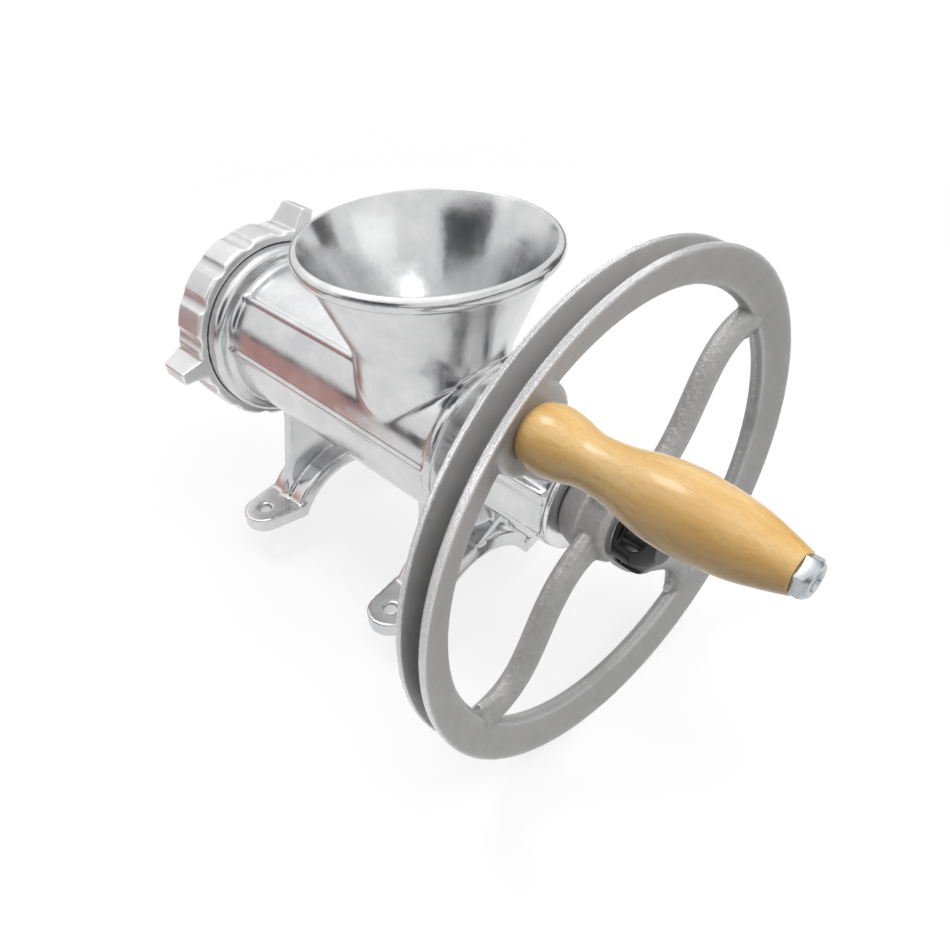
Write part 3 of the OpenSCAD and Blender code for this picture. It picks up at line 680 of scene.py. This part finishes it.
finish.tree.links.new(finish.place, glitter.inputs["Vector"])
facet = glitter.outputs["Distance"]
spark = finish.mix(finish.mask(facet, 0.15, 0.6), (1.0, 1.0, 1.0), (0.66, 0.66, 0.67))
finish.set("Base Color", finish.mix(bare, shade, spark))
finish.set("Metallic", finish.ramp(bare, 0.10, 1.0))
finish.set("Roughness", finish.ramp(bare, 0.36, 0.24))
coarse = finish.calc("MULTIPLY", facet, finish.calc("MULTIPLY", bare, GLITTER_HEIGHT))
fine = finish.calc("MULTIPLY", skin["Height"], finish.calc("MULTIPLY", rough_cast, GRAIN_HEIGHT))
finish.bump(finish.calc("ADD", coarse, fine), strength=0.5, distance=0.0006)
wheel_paint = finish
print("wheel paint ready")

# %% [markdown]
# ### Spokes from one rule
# The four spokes are one form. A line is bent into an S, because its angle swings out and back while its
# radius grows. An oval is swept along it, a little thicker at both ends, and the spoke is repeated round
# the hub. The whole star is made flat and then stood up in the wheel's plane.

# %% Grow the spokes with nodes
RIM_HALF, SPOKE_BACK = 0.0093, 0.0012
SWING_POWER, FLARE_POWER, OVAL_POINTS = 1.35, 5.0, 28
wheel_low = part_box("pulley_wheel")[0]
rim_middle = wheel_low[1] + RIM_HALF
spokes = Tree("spokes", {
    "Count": 4, "Points": 40, "Inner Radius": 0.018, "Outer Radius": 0.119,
    "Half Width": 0.0082, "Half Thickness": 0.0062, "Flare": 0.28,
    "Swing": math.radians(25.5), "Start": math.radians(106.0), "Bend From": 0.022, "Bend Over": 0.072,
    "Depth": rim_middle + SPOKE_BACK, "Height": SHAFT_Z}, wheel_paint.material)
size, calc = spokes.size, spokes.math

line = spokes.node("GeometryNodeCurvePrimitiveLine", {"Start": (0, 0, 0), "End": (1, 0, 0)})[0]
line = spokes.node("GeometryNodeResampleCurve", {"Curve": line, "Count": size("Points")})[0]
share = spokes.node("GeometryNodeSplineParameter")["Factor"]
span = calc("SUBTRACT", size("Outer Radius"), size("Inner Radius"))
radius = calc("MULTIPLY_ADD", share, span, size("Inner Radius"))
bend = calc("DIVIDE", calc("SUBTRACT", radius, size("Bend From")), size("Bend Over"))
swing = calc("ABSOLUTE", calc("SINE", calc("MULTIPLY", bend, math.pi / 2)))
angle = calc("MULTIPLY_ADD", calc("POWER", swing, SWING_POWER), size("Swing"), size("Start"))
bent = spokes.vector(
    X=calc("MULTIPLY", radius, calc("COSINE", angle)), Y=calc("MULTIPLY", radius, calc("SINE", angle)))
path = spokes.node("GeometryNodeSetPosition", {"Geometry": line, "Position": bent})[0]

from_middle = calc("ABSOLUTE", calc("MULTIPLY_ADD", share, 2.0, -1.0))
thick = calc("MULTIPLY_ADD", calc("POWER", from_middle, FLARE_POWER), size("Flare"), 1.0)
path = spokes.node("GeometryNodeSetCurveRadius", {"Curve": path, "Radius": thick})[0]
path = spokes.node("GeometryNodeSetCurveNormal", {"Curve": path}, mode="Z_UP")[0]
oval = spokes.node("GeometryNodeCurvePrimitiveCircle", {"Resolution": OVAL_POINTS, "Radius": 1.0})[0]
squeeze = spokes.vector(X=size("Half Width"), Y=size("Half Thickness"), Z=1.0)
oval = spokes.node("GeometryNodeTransform", {"Geometry": oval, "Scale": squeeze})[0]
sweep = spokes.node(
    "GeometryNodeCurveToMesh", {"Curve": path, "Profile Curve": oval, "Fill Caps": True})[0]

ring = spokes.node("GeometryNodeMeshLine", {"Count": size("Count"), "Offset": (0, 0, 0)})[0]
each = spokes.node("GeometryNodeInputIndex")[0]
turn = spokes.vector(Z=calc("MULTIPLY", each, calc("DIVIDE", 2 * math.pi, size("Count"))))
star = spokes.node(
    "GeometryNodeInstanceOnPoints", {"Points": ring, "Instance": sweep, "Rotation": turn})[0]
star = spokes.node("GeometryNodeRealizeInstances", {"Geometry": star})[0]
seat = spokes.vector(Y=size("Depth"), Z=size("Height"))
star = spokes.node(
    "GeometryNodeTransform", {"Geometry": star, "Rotation": (math.pi / 2, 0, 0), "Translation": seat})[0]
spoke_mesh = spokes.mesh(star)

# %% [markdown]
# ### One casting again
# The spokes are melted into the rim, the hub and the handle boss by the same remesh that rounds the
# other castings, so they flow into each other as cast iron does.

# %% Melt the spokes into the wheel
work = bmesh.new()
work.from_mesh(merged_copy("pulley_wheel"))
work.from_mesh(spoke_mesh)
wheel = bpy.data.meshes.new("wheel")
work.to_mesh(wheel)
work.free()
wheel = cast_skin(wheel, voxel=0.0008, rounds=6, keep=0.5)
add_piece("spoked_wheel", wheel, "crank", wheel_paint, "pulley_wheel")

# %% [markdown]
# ## The wooden grip
# A pale hardwood, turned on a lathe and varnished. Its grain runs along the grip: streaks across it
# would look wrong at once. So the noise that colours it is stretched far along Y. The varnish is a clear
# coat over the wood, which is glossier than the wood itself.

# %% Varnished wood
GRAIN_TILT, GRAIN_STRETCH = (0.10, 0.0, 0.06), (1.0, 0.06, 1.0)

finish = Finish("varnished_wood", coat_weight=0.6, coat_roughness=0.17, ior=1.4)
along_grain = finish.tree.nodes.new("ShaderNodeMapping")
along_grain.inputs["Rotation"].default_value = GRAIN_TILT
along_grain.inputs["Scale"].default_value = GRAIN_STRETCH
finish.tree.links.new(finish.place, along_grain.inputs["Vector"])
rings = noise_node(finish.tree, along_grain.outputs[0], 150.0, detail=3.0, rough=0.5)
pores = noise_node(finish.tree, along_grain.outputs[0], 1300.0, detail=4.0, rough=0.6)
cloud = noise_node(finish.tree, finish.place, 26.0, detail=3.0, rough=0.5)
tone = finish.mix(finish.mask(rings, 0.36, 0.66), (0.86, 0.56, 0.215), (0.75, 0.42, 0.115))
tone = finish.mix(finish.ramp(cloud, 0.0, 0.55, start=0.4, end=0.75), tone, (0.90, 0.65, 0.31))
tone = finish.mix(finish.ramp(pores, 0.32, 0.0, start=0.36, end=0.50), tone, (0.55, 0.31, 0.10))
finish.set("Base Color", tone)
finish.set("Roughness", finish.ramp(rings, 0.34, 0.46, start=0.3, end=0.7))
height = finish.calc("ADD", finish.calc("MULTIPLY", rings, 0.6), finish.calc("MULTIPLY", pores, 0.4))
finish.bump(height, strength=0.12, distance=0.0004)
varnished_wood = finish
print("wood:", varnished_wood.slot)

# %% [markdown]
# ### The turned outline
# The outline was read off the photograph: the grip's radius at a few stations, from the wheel to the
# tip. A smooth curve through them is turned on the lathe. The bore leaves room for the sleeve that the
# grip spins on.

# %% Turn the grip
STATIONS = [0, 0.03, 0.09, 0.16, 0.235, 0.29, 0.38, 0.5, 0.6, 0.7, 0.82, 0.92, 1.0]
RADII_MM = [10.64, 13.02, 14.0, 13.02, 11.0, 10.7, 11.66, 14.29, 15.2, 14.74, 13.22, 10.49, 7.8]
BORE_R, SPAN_STEPS, GRIP_SEGMENTS = 0.0059, 10, 120

grip_low, grip_high = (Vector(v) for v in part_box("wooden_grip"))
grip_axis = (grip_low.x + grip_high.x) / 2, (grip_low.z + grip_high.z) / 2
grip_length = grip_high.y - grip_low.y


def smooth_curve(stations, values, steps):
    """A smooth curve through the values, sampled evenly in each span."""
    last = len(stations) - 1
    curve = []
    for i in range(last):
        a, b, c, d = max(i - 1, 0), i, i + 1, min(i + 2, last)
        for t in np.linspace(0, 1, steps, endpoint=False):
            pair = []
            for v in (stations, values):
                square = 2 * v[a] - 5 * v[b] + 4 * v[c] - v[d]
                cube = 3 * v[b] - v[a] - 3 * v[c] + v[d]
                pair.append(0.5 * (2 * v[b] + (v[c] - v[a]) * t + square * t * t + cube * t ** 3))
            curve.append(tuple(pair))
    return curve + [(stations[-1], values[-1])]


curve = smooth_curve(STATIONS, RADII_MM, SPAN_STEPS)
outline = [(BORE_R, grip_high.y)]
outline += [(r / 1000, grip_high.y - s * grip_length) for s, r in curve]
outline += [(BORE_R, grip_low.y)]
grip = lathe(outline, grip_axis, GRIP_SEGMENTS)
add_piece("turned_grip", grip, "grip", varnished_wood, "wooden_grip")

# %% [markdown]
# ## Mottled materials and the thumb knob
# Three simpler materials share one rule: tone and roughness both change in the clouds of the cast
# surface. They are the black plastic of the knob, the plain casting of the auger and the fibre of the
# thrust washer. Moulded plastic has no sharp corner anywhere, so the knob gets the same rounding as the
# castings, only finer.

# %% Mottled materials and the knob


def mottled(name, dark, light, rough, surface, strength, distance, **values):
    """A material whose tone and roughness follow the clouds of the cast surface."""
    finish = Finish(name, **values)
    skin = finish.group(cast_group, **surface)
    finish.set("Base Color", finish.mix(skin["Cloud"], dark, light))
    finish.set("Roughness", finish.ramp(skin["Cloud"], *rough, start=0.3, end=0.7))
    finish.bump(skin["Height"], strength, distance)
    return finish


black_plastic = mottled(
    "black_plastic", (0.006, 0.006, 0.007), (0.014, 0.0135, 0.015), (0.14, 0.28),
    {"wave_scale": 120.0, "grain_scale": 1800.0, "wave": 0.6, "grain": 0.3},
    strength=0.15, distance=0.0003, ior=1.42)
cast_auger = mottled(
    "cast_auger", (0.50, 0.50, 0.50), (0.68, 0.68, 0.68), (0.30, 0.46),
    {"wave_scale": 50.0, "grain_scale": 800.0, "wave": 0.6, "grain": 0.6},
    strength=0.3, distance=0.0006, metallic=1.0)
thrust_fibre = mottled(
    "thrust_fibre", (0.15, 0.06, 0.03), (0.24, 0.11, 0.05), (0.62, 0.80),
    {"wave_scale": 200.0, "grain_scale": 2400.0, "wave": 0.5, "grain": 0.8},
    strength=0.3, distance=0.0003)
knob = cast_skin(merged_copy("thumb_knob"), voxel=0.00045, rounds=8, keep=0.6)
add_piece("lobed_knob", knob, "knob", black_plastic, "thumb_knob")

# %% [markdown]
# ## Turned and ground metal
# The bolt, the nut, the washers, the shaft and the knife are plain steel pieces, and the bush is bronze.
# What tells them apart is their tone, how rough they are, and which way their fine tool lines run.

# %% Steel, zinc and bronze


def tooled(name, dark, light, rough, fine, along, strength=0.2):
    """A machined metal with fine tool lines."""
    finish = Finish(name, metallic=1.0)
    lines = finish.group(lines_group, fine=fine, along=along)
    skin = finish.group(cast_group, wave_scale=90.0, grain_scale=900.0, wave=0.5, grain=0.3)
    finish.set("Base Color", finish.mix(finish.mask(lines["Height"], 0.3, 0.7), dark, light))
    finish.set("Roughness", finish.ramp(skin["Cloud"], rough - 0.06, rough + 0.08, start=0.3, end=0.7))
    finish.bump(lines["Height"], strength, distance=0.0002)
    return finish


zinc_steel = tooled("zinc_steel", (0.37, 0.39, 0.41), (0.50, 0.52, 0.54), 0.24, 1400.0, 300.0, 0.12)
bright_steel = tooled("bright_steel", (0.68, 0.68, 0.69), (0.84, 0.84, 0.845), 0.22, 200.0, 1500.0)
shaft_steel = tooled("shaft_steel", (0.42, 0.42, 0.43), (0.58, 0.58, 0.59), 0.32, 2600.0, 60.0)
tool_steel = tooled("tool_steel", (0.50, 0.50, 0.51), (0.66, 0.66, 0.67), 0.28, 60.0, 1600.0)
bush_bronze = tooled("bush_bronze", (0.56, 0.36, 0.16), (0.74, 0.52, 0.26), 0.34, 2200.0, 60.0)
print("machined metals ready")

# %% [markdown]
# ### Small bevels
# The solids of these pieces already have the right shape, so a copy only gets the small bevel that every
# machined edge has: a corner with no bevel never catches light.

# %% Bevel the machined pieces
MACHINED = [
    ("handle_bolt", "crank", zinc_steel, 0.0004),
    ("handle_nut", "crank", zinc_steel, 0.0004),
    ("spring_washer", "crank", zinc_steel, 0.0002),
    ("hub_washer", "crank", bright_steel, 0.0004),
    ("knob_washer", "clamp_washer", bright_steel, 0.0003),
    ("knob_screw", "knob", zinc_steel, 0.0004),
    ("auger_shaft", "crank", shaft_steel, 0.0004),
    ("knife_stud", "crank", shaft_steel, 0.0004),
    ("cutting_knife", "crank", tool_steel, 0.0003),
    ("cross_pin", "crank", shaft_steel, 0.0003),
    ("plate_key", "stand", shaft_steel, 0.0003),
    ("grip_sleeve", "crank", shaft_steel, 0.0002),
    ("rear_bush", "stand", bush_bronze, 0.0004),
    ("thrust_washer", "stand", thrust_fibre, 0.0004),
    ("grinding_plate", "plate", tool_steel, 0.0003)]
BEVEL = {"segments": 2, "limit_method": "ANGLE", "angle_limit": math.radians(35),
         "use_clamp_overlap": True, "harden_normals": False}

for node, rider, finish, width in MACHINED:
    bevelled = through_modifiers(
        merged_copy(node), ("BEVEL", {"width": width, **BEVEL}), ("WEIGHTED_NORMAL", {"keep_sharp": True}))
    add_piece(node + "_finish", bevelled, rider, finish, node)

# %% [markdown]
# ## The auger
# Down in the hopper the auger can be seen. Its flight is a helix: one rule with a pitch, a core and a
# tip radius. Geometry Nodes make it from a flat grid. One side of the grid runs along the screw, the
# other runs round the flight's section, and Set Position rolls the grid up.

# %% Roll up the flight
FLIGHT_INSET, SQUARENESS, SEAM = 0.008, 0.5, 1e-5
auger_low, auger_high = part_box("auger")
flight_from, flight_to = auger_low[1] + FLIGHT_INSET, auger_high[1] - FLIGHT_INSET
flight = Tree("auger_flight", {
    "Steps": 240, "Around": 16, "Start": flight_from, "Length": flight_to - flight_from, "Pitch": 0.05,
    "Root Radius": 0.0155, "Tip Radius": 0.0422, "Root Thickness": 0.0078, "Tip Thickness": 0.0046,
    "Height": SHAFT_Z}, cast_auger.material)
size, calc = flight.size, flight.math


def squared(wave):
    """A sine or cosine that is filled out towards a square wave, so that the section is nearly square."""
    return calc("MULTIPLY", calc("SIGN", wave), calc("POWER", calc("ABSOLUTE", wave), SQUARENESS))


grid = flight.node("GeometryNodeMeshGrid", {
    "Size X": 1.0, "Size Y": 1.0, "Vertices X": size("Steps"), "Vertices Y": size("Around")})["Mesh"]
spot = flight.node("ShaderNodeSeparateXYZ", {0: flight.node("GeometryNodeInputPosition")[0]})
round_it = calc("MULTIPLY", calc("ADD", spot["Y"], 0.5), 2 * math.pi)
outward, sideways = squared(calc("COSINE", round_it)), squared(calc("SINE", round_it))
middle = calc("MULTIPLY", calc("ADD", size("Root Radius"), size("Tip Radius")), 0.5)
half = calc("MULTIPLY", calc("SUBTRACT", size("Tip Radius"), size("Root Radius")), 0.5)
reach = calc("MULTIPLY_ADD", outward, half, middle)
mean_half = calc("MULTIPLY", calc("ADD", size("Root Thickness"), size("Tip Thickness")), 0.25)
taper = calc("MULTIPLY", calc("SUBTRACT", size("Root Thickness"), size("Tip Thickness")), -0.25)
across = calc("MULTIPLY", sideways, calc("MULTIPLY_ADD", outward, taper, mean_half))
travel = calc("MULTIPLY", calc("ADD", spot["X"], 0.5), size("Length"))
angle = calc("MULTIPLY", calc("DIVIDE", travel, size("Pitch")), -2 * math.pi)
rolled = flight.vector(
    X=calc("MULTIPLY", reach, calc("COSINE", angle)),
    Y=calc("ADD", calc("ADD", travel, size("Start")), across),
    Z=calc("MULTIPLY_ADD", reach, calc("SINE", angle), size("Height")))
rolled = flight.node("GeometryNodeSetPosition", {"Geometry": grid, "Position": rolled})[0]
rolled = flight.node("GeometryNodeMergeByDistance", {"Geometry": rolled, "Distance": SEAM})[0]
flight_mesh = flight.mesh(rolled)

# %% [markdown]
# ### Flight and core in one piece
# The open ends of the flight are closed, and the core is added. The core is a slightly tapered tube from
# the lathe, bored for the shaft at the wheel's end and for the knife's stud at the other.

# %% Join flight and core
SHAFT_BORE, STUD_BORE, SHAFT_DEPTH, STUD_DEPTH = 0.0112, 0.0092, 0.045, 0.038
END_BEVEL, END_SIDES, CORE_SEGMENTS = 0.0005, 40, 96
core_from, core_to = auger_low[1], auger_high[1]
core = [
    (SHAFT_BORE, core_from), (0.0205, core_from), (0.021, core_from + END_BEVEL),
    (0.017, core_to - END_BEVEL), (0.0165, core_to), (STUD_BORE, core_to),
    (STUD_BORE, core_to - STUD_DEPTH), (SHAFT_BORE, core_from + SHAFT_DEPTH)]
work = bmesh.new()
work.from_mesh(flight_mesh)
bmesh.ops.holes_fill(work, edges=work.edges, sides=END_SIDES)
bmesh.ops.recalc_face_normals(work, faces=work.faces)
work.from_mesh(lathe(core, segments=CORE_SEGMENTS))
screw = bpy.data.meshes.new("feed_screw")
work.to_mesh(screw)
work.free()
add_piece("feed_screw", screw, "crank", cast_auger, "auger")

# %% [markdown]
# ## Floor and background
# The photograph is a cut-out on white. The floor is a plain grey sheet that catches a soft shadow. To
# rays that are seen, straight or in a mirror, it is lifted to white, and a little more far away, so that
# it runs into the background. Rays that spread light round the room see only the grey. The world does
# the same: it is seen as white, and it shines dimly.

# %% Lay the floor
FLOOR_GAP, FLOOR_HALF, FLOOR_GREY = 0.0005, 6, (0.29, 0.29, 0.29)
SHEET_ROUGHNESS, SHEET_SPECULAR = 0.9, 0.1
LIFT_NEAR, LIFT_FAR, NEAR_M, FAR_M = 0.76, 0.95, 0.8, 2.6
FLOOR_Z = cad_box[0][2] - FLOOR_GAP
SQUARE = ((-1, -1), (1, -1), (1, 1), (-1, 1))


def plain_sheet(name, corners, colour):
    """A flat sheet with its dull material."""
    mesh = bpy.data.meshes.new(name)
    mesh.from_pydata(corners, [], [tuple(range(len(corners)))])
    sheet = bpy.data.objects.new(name, mesh)
    scene.collection.objects.link(sheet)
    paint = Finish(name, roughness=SHEET_ROUGHNESS)
    paint.shader.inputs["Specular IOR Level"].default_value = SHEET_SPECULAR
    paint.shader.inputs["Base Color"].default_value = (*colour, 1)
    mesh.materials.append(paint.material)
    return sheet, paint


def seen_rays(tree):
    """A mask for rays that are seen: straight, in a mirror or through glass."""
    rays = tree.nodes.new("ShaderNodeLightPath").outputs
    seen = math_node(tree, "MAXIMUM", rays["Is Camera Ray"], rays["Is Glossy Ray"])
    return math_node(tree, "MAXIMUM", seen, rays["Is Transmission Ray"])


floor_corners = [(a * FLOOR_HALF, b * FLOOR_HALF, FLOOR_Z) for a, b in SQUARE]
paint = plain_sheet("floor", floor_corners, FLOOR_GREY)[1]
distance = paint.tree.nodes.new("ShaderNodeVectorMath")
distance.operation = "LENGTH"
paint.tree.links.new(paint.place, distance.inputs[0])
far = paint.ramp(distance.outputs["Value"], LIFT_NEAR, LIFT_FAR, NEAR_M, FAR_M)
paint.shader.inputs["Emission Color"].default_value = (1, 1, 1, 1)
paint.set("Emission Strength", paint.calc("MULTIPLY", seen_rays(paint.tree), far))
print("floor at %.4f m" % FLOOR_Z)

# %% [markdown]
# ### The world
# One Background node is enough. Its strength is low for the light that it gives, and rises to full white
# for rays that are seen.

# %% Light the world
WORLD_GLOW, WORLD_LIFT = 0.27, 0.73

world = bpy.data.worlds.new("studio")
scene.world = world
world.use_nodes = True
tree = world.node_tree
tree.nodes.clear()
background = tree.nodes.new("ShaderNodeBackground")
background.inputs["Color"].default_value = (1, 1, 1, 1)
strength = math_node(tree, "MULTIPLY_ADD", seen_rays(tree), WORLD_LIFT, WORLD_GLOW)
tree.links.new(strength, background.inputs["Strength"])
world_out = tree.nodes.new("ShaderNodeOutputWorld")
tree.links.new(background.outputs[0], world_out.inputs["Surface"])
print("world:", world.name)

# %% [markdown]
# ## Lamps and cards
# Polished metal shows its surroundings, so it needs something to show. Four soft lamps give the light,
# and three of them are mirrored as bright patches. Cards give the dark bands: one large card on the
# left, a grey one on the right, a reddish one low beside the barrel, and a low ring of panels all round
# as a horizon. The camera does not see the cards, and they cast no shadow.

# %% Hang the lamps
LAMP_AIM = (0, -0.05, 0.1)
LAMPS = [
    ("top_box", (-0.2, 0.45, 1.7), 2.4, 6.5, True),
    ("front_box", (0.25, -1.0, 1.75), 1.8, 22, False),
    ("fill_box", (0.5, -1.7, 0.6), 1.3, 2, True),
    ("key_box", (-0.15, 0.45, 1.5), 0.5, 5.5, True)]

for name, place, side, power, mirrored in LAMPS:
    data = bpy.data.lights.new(name, "AREA")
    data.shape, data.size, data.energy = "SQUARE", side, power
    lamp = bpy.data.objects.new(name, data)
    lamp.location = place
    lamp.rotation_euler = (Vector(LAMP_AIM) - Vector(place)).to_track_quat("-Z", "Y").to_euler()
    lamp.visible_glossy = mirrored
    scene.collection.objects.link(lamp)
print("lamps:", [row[0] for row in LAMPS])

# %% [markdown]
# ### Cards and horizon
# Each card faces the grinder. The horizon's panels have two greys in turn, so it is not one even line.

# %% Set up the cards
CARD_AIM = Vector((0, -0.03, 0.11))
CARDS = [
    ("dark_side", (-0.95, -0.07, 0.62), 1.0, 0.58, (0.22, 0.225, 0.25)),
    ("warm_side", (-0.275, 0.375, 0.06), 0.29, 0.17, (1.0, 0.57, 0.53)),
    ("grey_side", (1.0, -0.30, 0.35), 0.4, 0.8, (0.26, 0.26, 0.27))]
PANELS, PANEL_R, PANEL_H, PANEL_GREYS, PANEL_BLUE = 10, 2.2, 0.42, (0.31, 0.50), 1.03


def card(name, centre, width, height, colour):
    """A card that faces the grinder from a distance, and that only mirrors and light can see."""
    centre = Vector(centre)
    face = (CARD_AIM - centre).normalized()
    aside = face.cross(Vector((0, 0, 1))).normalized() * width / 2
    rise = aside.cross(face).normalized() * height / 2
    corners = [tuple(centre + a * aside + b * rise) for a, b in SQUARE]
    sheet = plain_sheet(name, corners, colour)[0]
    sheet.visible_camera = False
    sheet.visible_shadow = False


for row in CARDS:
    card(*row)
panel_width = 2 * PANEL_R * math.tan(math.pi / PANELS)
for k in range(PANELS):
    turn = 2 * math.pi * k / PANELS
    centre = (PANEL_R * math.cos(turn), PANEL_R * math.sin(turn), FLOOR_Z + PANEL_H / 2)
    shade = PANEL_GREYS[k % 2]
    card("horizon_%02d" % k, centre, panel_width, PANEL_H, (shade, shade, shade * PANEL_BLUE))
print("cards:", len(CARDS), "panels:", PANELS)
